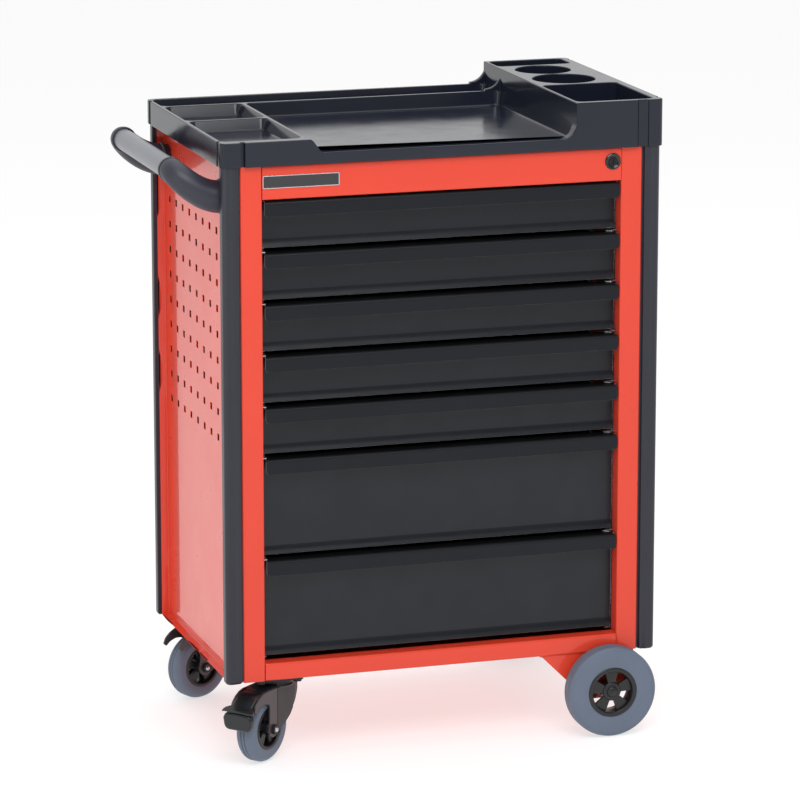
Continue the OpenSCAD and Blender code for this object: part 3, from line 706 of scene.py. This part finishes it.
def top_tray():
    x0, x1, y0, y1 = -29.5, 633.5, -8, 416
    deck, floor, well, pocket = FRAME_H, FRAME_H + 14, FRAME_H + 4, FRAME_H + 19
    top, over = BLOCK_Z + 1, 5
    ridge_front, ridge_back, back_rim = 335.5, 341.5, 408        # the ridge along the back channel
    left_x, block_x = (-23.5, 94.5), (BLOCK_X + 5, 621)
    low_part = prism([(x0 - over, deck - over), (BLOCK_X, deck - over), (BLOCK_X, top + 9),
                      (x0 - over, top + 9)], "y", y0 - over, y1 + over)
    can_block = carve(block((x0, y0), (x1, y1), 9, deck + 0.5, BLOCK_Z),
                      [("DIFFERENCE", low_part)])
    cuts = [rim_cut(17),
            tub((100.5, 5), (BLOCK_X, ridge_front), 11, floor, 3),
            tub((left_x[0], 10), (left_x[1], 196.2), 11, pocket, 5),
            tub((left_x[0], 202), (left_x[1], ridge_front), 11, pocket, 5),
            tub((left_x[0], ridge_back), (BLOCK_X, back_rim), 11, well),
            tub((block_x[0], 2), (block_x[1], 162), 9, well, 2, BLOCK_Z),
            tub((block_x[0], 357), (block_x[1], back_rim), 9, well, 2, BLOCK_Z),
            can_hole(559, 216.5, 47, well, top),
            can_hole(558.5, 309, 42, well, top),
            groove((0.2, y0 - 6), (6.0, y0 + 8), 1.2),
            groove((594, y0 - 6), (610, y0 + 3), 2.9)]
    cuts += [groove((a, y), (b, y + 7), 1.6) for a, b in ((x0 - 6, x0 + 3.5), (x1 - 3.5, x1 + 6))
             for y in (9, y1 - 24)]
    tools = [("UNION", can_block), ("UNION", rim_ramp(ridge_front, ridge_back)),
             ("UNION", rim_ramp(back_rim, y1))]
    tools += [("DIFFERENCE", cut) for cut in cuts]
    piece("tray", carve(block((x0, y0), (x1, y1), 9, deck, RIM_Z), tools), "tray_plastic",
          "cabinet", ["top_tray"], bevel=1.5, steps=3, limit=35)


# ------------------------------------------------------------------ push handle

def bezier(p, t):
    s = 1 - t
    return p[0] * s ** 3 + p[1] * (3 * s * s * t) + p[2] * (3 * s * t * t) + p[3] * t ** 3


def handle():
    c, r, end, socket = (-83, 745), 15.5, 62, (39.5, 708)
    ends = [(r - 1.5, end), (r, end), (r, BODY_D - end), (r - 1.5, BODY_D - end)]
    piece("grip_tube", lathe(ends, c, sides=64, closed=True), "tube_grey", "cabinet",
          ["handle_tube"], sharp=40)
    path = [Vector(p) for p in ((-18.5, *socket), (-52.5, *socket), (c[0], 36, c[1]),
                                (c[0], 64, c[1]))]
    count = 26
    points = [bezier(path, i / count) for i in range(count + 1)]
    radii = [24 - 6.5 * (i / count) ** 0.85 for i in range(count + 1)]
    elbow = sweep(points, radii, 36)
    boss = lathe([(19, -8.8), (21.5, -8.8), (21.5, -14), (25, -16.5), (25.2, -19.5), (23.8, -21.5),
                  (19, -21.5)], socket, "x", 48, closed=True)
    collar = lathe([(r - 0.3, 64), (18.2, 64), (18.5, 64.5), (18.5, 69), (18, 69.9),
                    (16.4, 70.2), (r - 0.3, 69.6)], c, sides=48, closed=True)
    for name, node, flip in (("elbow_front", "handle_elbow_front", False),
                             ("elbow_rear", "handle_elbow_rear", True)):
        parts = [mirrored(s, "y", BODY_D) if flip else s for s in (elbow, boss, collar)]
        piece(name, parts[0], "elbow_plastic", "cabinet", [node], bevel=0.6, limit=50)
        piece(name + "_socket", parts[1], "elbow_plastic", "cabinet", bevel=0.5, limit=30)
        piece(name + "_collar", parts[2], "elbow_plastic", "cabinet",
              ["handle_collars"] if not flip else (), bevel=0.3, limit=30)


# ------------------------------------------------------------------ outboard wheels

def tread(r, y0, y1, grooves):
    """A row of (radius, y) across the tread with grooves cut in it."""
    row = [(r, y0)]
    for y in grooves:
        row += [(r, y - 0.9), (r - 1.2, y - 0.5), (r - 1.2, y + 0.5), (r, y + 0.9)]
    return row + [(r, y1)]


def spokes(count, r0, r1, y0, y1, half_in, half_out):
    """Even spokes, the first at the top, each with its half angle at the inner and outer end."""
    parts = []
    for k in range(count):
        a = 90 + 360 / count * k
        outline = arc((0, 0), r1, a - half_out, a + half_out, 5)
        outline += arc((0, 0), r0, a + half_in, a - half_in, 4)
        parts.append(prism(outline, "y", y0, y1))
    return parts


def big_wheel(name, flip):
    y0, y1, c = -31, -2, (WHEEL_X, WHEEL_Z)
    side = [(37.5, 1.6), (39, 0.9), (44, 0.35), (53, 0.05), (60, 0.3), (62.0, 0.75), (62.6, 1.4),
            (63.4, 1.5), (64.4, 1.3), (66.3, 2.4), (67.5, 4.2)]
    profile = [(r, y0 + d) for r, d in side]
    profile += tread(WHEEL_R, y0 + 6.2, y1 - 6.2, (y0 + 9.5, y1 - 9.5))
    profile += [(r, y1 - d) for r, d in reversed(side)]
    tyre = lathe(profile, c, sides=96, closed=True)
    rim = [(37.6, 1.4), (36.6, 0.5), (33.4, 0.3), (31.6, 0.9), (30.6, 2.4), (30.2, 8),
           (29.6, 13), (29.6, 16), (30.2, 21), (30.6, 26.6), (31.6, 28.1), (33.4, 28.7),
           (36.6, 28.5), (37.6, 27.6)]
    boss = [(6.1, 4.6), (12.6, 4.6), (13.8, 5.4), (14.2, 7), (15, 12), (15, 17), (14.2, 24),
            (13.6, 28.6), (6.1, 28.9)]
    wheel = [lathe([(r, y0 + d) for r, d in p], (0, 0), sides=72, closed=True)
             for p in (rim, boss)]
    wheel += spokes(5, 13.5, 30.4, y0 + 6.5, y0 + 12, 24, 19)
    wheel += spokes(5, 13.5, 30.4, y0 + 11.5, y0 + 21, 5, 3)
    verts, faces = both(*wheel)
    hub = ([(x + c[0], y, z + c[1]) for x, y, z in verts], faces)
    shapes = [(f"{name}_rubber", tyre, "tyre_rubber", [f"{name}_tyre"], 0, 28),
              (f"{name}_rim", hub, "hub_plastic", [f"{name}_hub"], 0.45, 28)]
    for label, shape, look, nodes, bevel, angle in shapes:
        if flip:
            shape = mirrored(shape, "y", BODY_D)
        piece(label, shape, look, name, nodes, bevel=bevel, limit=angle,
              sharp=None if bevel else 50)


def axle_cap(flip):
    c, y = (WHEEL_X, WHEEL_Z), -31
    dome = [(0, -0.1)] + [(8.2 * math.sin(math.radians(a)), 3.6 - 3.7 * math.cos(math.radians(a)))
                          for a in (12, 25, 38, 52, 66, 80)]
    profile = dome + [(8.4, 4.0), (10.6, 4.1), (11.2, 4.5), (11.2, 5.2), (0, 5.2)]
    shape = lathe([(r, y + d) for r, d in profile], c, sides=48)
    return mirrored(shape, "y", BODY_D) if flip else shape


def brackets():
    left, right, drop = 455, 600, -72
    outline = fillet([(left, 0), (527, drop), (575, drop), (right, -47), (right, 0)],
                     [0, 5, 5, 5, 0], 4)
    plate = prism(outline, "y", 3, 6)
    foot = skin([[(x, y, z) for y, z in fillet([(5.5, 0), (33, 0), (33, -3), (5.5, -3)],
                                               [0, 1, 1, 0], 3)] for x in (left, right)])
    for name, node, flip in (("bracket_front", "wheel_bracket_front", False),
                             ("bracket_rear", "wheel_bracket_rear", True)):
        shape = both(plate, foot)
        piece(name, mirrored(shape, "y", BODY_D) if flip else shape, "red_paint", "cabinet",
              [node], bevel=0.6)
    piece("axle_caps", both(axle_cap(False), axle_cap(True)), "hub_plastic", "cabinet",
          ["wheel_axle_caps"], sharp=40)


# ------------------------------------------------------------------ swivel casters

def cheek_outline():
    """A fork leg in side view, with the fender that arches over the tyre."""
    foot = arc((TRAIL, CASTER_R), 12, -138, 15, 12)
    lead = [(-28, 110), (-28, 96), (-22, 80), (-8, 62)]
    trail = [(44.6, 62), (44, 88), (52, 92), (62, 92.5), (72, 89), (79, 83), (84, 87), (80, 96),
             (72, 103), (62, 108), (52, 110), (40, 110)]
    radii = [1, 20, 30, 20] + [0] * len(foot) + [8, 6, 12, 12, 12, 1.5, 2.5, 14, 14, 14, 10, 1]
    return fillet(lead + foot + trail, radii, 4)


def guard_sheet():
    """The curved guard wrapped round the leading edge of both legs."""
    half, back = 22.2, 25
    lead = [(109.6, -28.6), (103, -28.9), (96, -28.6), (88, -26), (80, -22.6), (71, -16.2),
            (62, -8.8), (55, 1.4), (49, 13.2), (45, 21)]
    rings = []
    for z, x in lead:
        r = 9 if z > 84 else 9 - 8 * min(1, (84 - z) / 12)
        ring = [(back, -half), ((back + x) / 2, -half)]
        ring += arc((x + r, -half + r), r, 270, 180, 5)
        ring += [(x, 0)] + arc((x + r, half - r), r, 180, 90, 5)
        ring += [((back + x) / 2, half), (back, half)]
        rings.append([(u, v, z) for u, v in ring])
    verts, faces = skin(rings, caps=False, around=False)
    n = len(rings[0])
    keep = []
    for k, face in enumerate(faces):
        row, col = divmod(k, n - 1)
        if not (row >= 3 and 2 <= col < n - 3):
            keep.append(face)
    return verts, keep


def caster_fork(spot, body):
    leg = prism(cheek_outline(), "y", 18.5, 21.5)
    piece(f"{body}_legs", both(leg, mirrored(leg, "y", 0)), "fork_steel", body,
          [f"{body}_fork"], spot=spot, bevel=0.7, limit=30)
    # The guard is the fork steel drawn darker as painted shade.
    piece(f"{body}_guard", guard_sheet(), "fork_steel_shaded", body, slot="fork_steel",
          spot=spot, sheet=1.2, inside=(20, 0, 100), bevel=0.5, limit=30)
    tip = lathe([(0, 28.4), (2.2, 28.1), (3.4, 27.2), (3.7, 26.2), (3.7, 25.5), (0, 25.5)],
                (TRAIL, CASTER_R), sides=24)
    piece(f"{body}_axle_tips", both(tip, mirrored(tip, "y", 0)), "zinc", body, spot=spot,
          sharp=40)
    crown = [(6.2, 105), (20, 105), (28.5, 108.4), (28.5, 110), (25.5, 111.4),
             (25, 113.4), (6.2, 113.5)]
    roof = skin([[(x, y, z) for x, y in fillet([(-27, -20), (44, -20), (44, 20), (-27, 20)],
                                               [8, 2, 2, 8], 4)] for z in (106.5, 110)])
    piece(f"{body}_crown", both(lathe(crown, (0, 0), "z", 48, closed=True), roof),
          "fork_steel", body, spot=spot, bevel=0.5)


def caster_wheel(spot, body):
    side = [(31, 2.4), (33, 1.2), (38, 0.5), (42, 0.9), (43, 1.8), (44, 2.1), (46.4, 4.0),
            (48.6, 6.6), (49.6, 9)]
    half = 16
    profile = [(r, -half + d) for r, d in side]
    profile += tread(CASTER_R, -half + 10, half - 10, (-2.6, 2.6))
    profile += [(r, half - d) for r, d in reversed(side)]
    tyre = lathe(profile, (TRAIL, CASTER_R), sides=80, closed=True)
    piece(f"{body}_rubber", tyre, "tyre_rubber", f"{body}_wheel", [f"{body}_tyre"],
          spot=spot, sharp=50)
    rim = [(31.1, -14.2), (30, -14.8), (27.4, -14.6), (26.2, -13), (25.6, -6), (25.4, 0),
           (25.6, 6), (26.2, 13), (27.4, 14.6), (30, 14.8), (31.1, 14.2)]
    boss = [(4.2, -17.3), (8.6, -17.3), (9.6, -16.2), (10.6, -8), (11, 0), (10.6, 8),
            (9.6, 16.2), (8.6, 17.3), (4.2, 17.3)]
    parts = [lathe(p, (0, 0), sides=60, closed=True) for p in (rim, boss)]
    parts += spokes(5, 9.5, 26, -9, -4, 22, 17) + spokes(5, 9.5, 26, 4, 9, 22, 17)
    parts += spokes(5, 9.5, 26, -5, 5, 5, 3)
    verts, faces = both(*parts)
    hub = [(x + TRAIL, y, z + CASTER_R) for x, y, z in verts], faces
    piece(f"{body}_rim", hub, "hub_plastic", f"{body}_wheel", [f"{body}_hub"], spot=spot,
          bevel=0.35, limit=28)


def casters():
    for i, which in enumerate(("front", "rear")):
        caster_fork(at_caster(i), f"caster_{which}")
        caster_wheel(at_caster(i), f"caster_{which}")


def brake():
    """The foot brake: a hood hinged on the fork, a wing and a pedal block behind the tyre."""
    spot = at_caster(0)
    rows = [(50.4, 108.4, 98, 17.8), (56, 108.6, 96, 17.9), (63, 107.4, 95, 17.9),
            (70, 104.6, 94.6, 17.9), (76, 101.2, 92.5, 17.9), (81, 97.6, 90, 18),
            (86.5, 94.2, 88, 18.1), (89, 92.8, 87.4, 22.6), (92, 91.4, 87, 25.6),
            (96.5, 89.8, 86.6, 26.2), (99.3, 88, 86.2, 25.6)]
    rings = []
    for x, top, low, half in rows:
        r = min(4, (top - low) * 0.6)
        ring = [(-half, low)] + arc((-half + r, top - r), r, 180, 90, 4)
        ring += arc((half - r, top - r), r, 90, 0, 4) + [(half, low)]
        rings.append([(x, y, z) for y, z in ring])
    piece("brake_hood", skin(rings, caps=False, around=False), "pedal_plastic",
          "caster_front_brake", ["caster_front_pedal"], spot=spot, sheet=1.6,
          inside=(60, 0, 80), bevel=0.5, limit=40)
    pad = fillet([(-22, 60), (22, 60), (25, 78), (21, 84.5), (0, 85.6), (-21, 84.5), (-25, 78)],
                 [9, 9, 6, 5, 40, 5, 6], 6)
    rings = []
    for x, grow in ((89.5, -1.5), (91, 0), (96.4, 0), (98, -0.7), (99, -2), (99.4, -4)):
        rings.append([(x, y * (1 + grow / 24), 73 + (z - 73) * (1 + grow / 14)) for y, z in pad])
    neck = fillet([(87, 90), (96, 89), (96, 80), (90.5, 80)], [1, 1, 1, 1], 3)
    parts = both(skin(rings), prism([(x, z) for x, z in neck], "y", -19, 19))
    piece("brake_pedal", parts, "pedal_plastic", "caster_front_brake", spot=spot, bevel=0.5,
          limit=30)
    cover = []
    for x, top, low in ((16, 113.2, 108), (28, 112.6, 106), (38, 111.6, 104), (48, 110.2, 102),
                        (54, 109.4, 101)):
        ring = [(-18.2, low)] + arc((-14.2, top - 4), 4, 180, 90, 4)
        ring += arc((14.2, top - 4), 4, 90, 0, 4) + [(18.2, low)]
        cover.append([(x, y, z) for y, z in ring])
    piece("brake_cover", skin(cover, caps=False, around=False), "pedal_plastic",
          "caster_front", spot=spot, slot="fork_steel", sheet=1.0, inside=(30, 0, 90),
          bevel=0.4, limit=40)


# ------------------------------------------------------------------ carried-over nodes, stage

def carried_over():
    for name, look in CARRIED_OVER.items():
        ob = NODES[name]
        ob.data.materials.clear()
        ob.data.materials.append(LOOKS[look])
        m = ob.modifiers.new("weld", "WELD")
        m.merge_threshold = 1e-5
        smooth_normals(ob, 0.3, 2, 35)


def stage():
    mesh = bpy.data.meshes.new("floor")
    bm = bmesh.new()
    bmesh.ops.create_circle(bm, cap_ends=True, segments=96, radius=40)
    bm.to_mesh(mesh)
    bm.free()
    ob = bpy.data.objects.new("floor", mesh)
    ob.location.z = CAD_BOX[0].z - 0.0005
    bpy.context.scene.collection.objects.link(ob)
    g = Graph("floor")
    g.links.new(g.mix(g.noise(0.6, 3), (0.44, 0.44, 0.44, 1), (0.46, 0.46, 0.46, 1)),
                g.shader.inputs["Base Color"])
    g.shader.inputs["Roughness"].default_value = 0.9
    g.shader.inputs["Specular IOR Level"].default_value = 0.1
    g.shader.inputs["Emission Color"].default_value = (1, 1, 1, 1)
    g.shader.inputs["Emission Strength"].default_value = 0.62
    mesh.materials.append(g.mat)


def area_light(name, place, target, size, power):
    data = bpy.data.lights.new(name, "AREA")
    data.shape, data.size, data.size_y, data.energy = "RECTANGLE", size[0], size[1], power
    ob = bpy.data.objects.new(name, data)
    ob.location = place
    ob.rotation_euler = (Vector(target) - Vector(place)).to_track_quat("-Z", "Y").to_euler()
    bpy.context.scene.collection.objects.link(ob)


def lights():
    world = bpy.data.worlds.new("studio")
    world.use_nodes = True
    nodes, links = world.node_tree.nodes, world.node_tree.links
    way = nodes.new("ShaderNodeTexCoord").outputs["Generated"]
    split = nodes.new("ShaderNodeSeparateXYZ")
    links.new(way, split.inputs[0])
    ramp = nodes.new("ShaderNodeMapRange")
    ramp.inputs["From Min"].default_value, ramp.inputs["From Max"].default_value = -0.9, 0.5
    ramp.inputs["To Min"].default_value, ramp.inputs["To Max"].default_value = 0.34, 0.92
    links.new(split.outputs["Y"], ramp.inputs["Value"])
    links.new(ramp.outputs[0], nodes["Background"].inputs["Strength"])
    nodes["Background"].inputs["Color"].default_value = (1, 1, 1, 1)
    bpy.context.scene.world = world
    area_light("key", (-0.5, -3.2, 3.6), (0, 0, 0.5), (3.0, 2.0), 104)
    area_light("side", (-3.4, -2.6, 1.3), (0, 0, 0.4), (1.2, 1.8), 14)
    area_light("top", (0.3, 0.2, 3.6), (0, 0, 0.5), (3, 3), 30)


def camera():
    data = bpy.data.cameras.new("camera")
    data.sensor_width, data.lens = 36, 199.493
    data.clip_end = 200
    ob = bpy.data.objects.new("camera", data)
    ob.location = (-1.89572152, -6.13096068, 1.9494845)
    ob.rotation_euler = (math.radians(90 - 12.8863), 0, math.radians(-17.4568))
    bpy.context.scene.collection.objects.link(ob)
    bpy.context.scene.camera = ob


front_frame()
side_panels()
rear_panel()
posts()
badge_and_lock()
drawers()
runner_tabs()
top_tray()
handle()
for wheel, is_rear in (("wheel_front", False), ("wheel_rear", True)):
    big_wheel(wheel, is_rear)
brackets()
casters()
brake()
carried_over()
stage()
lights()
camera()
bpy.context.scene.view_settings.view_transform = "Standard"
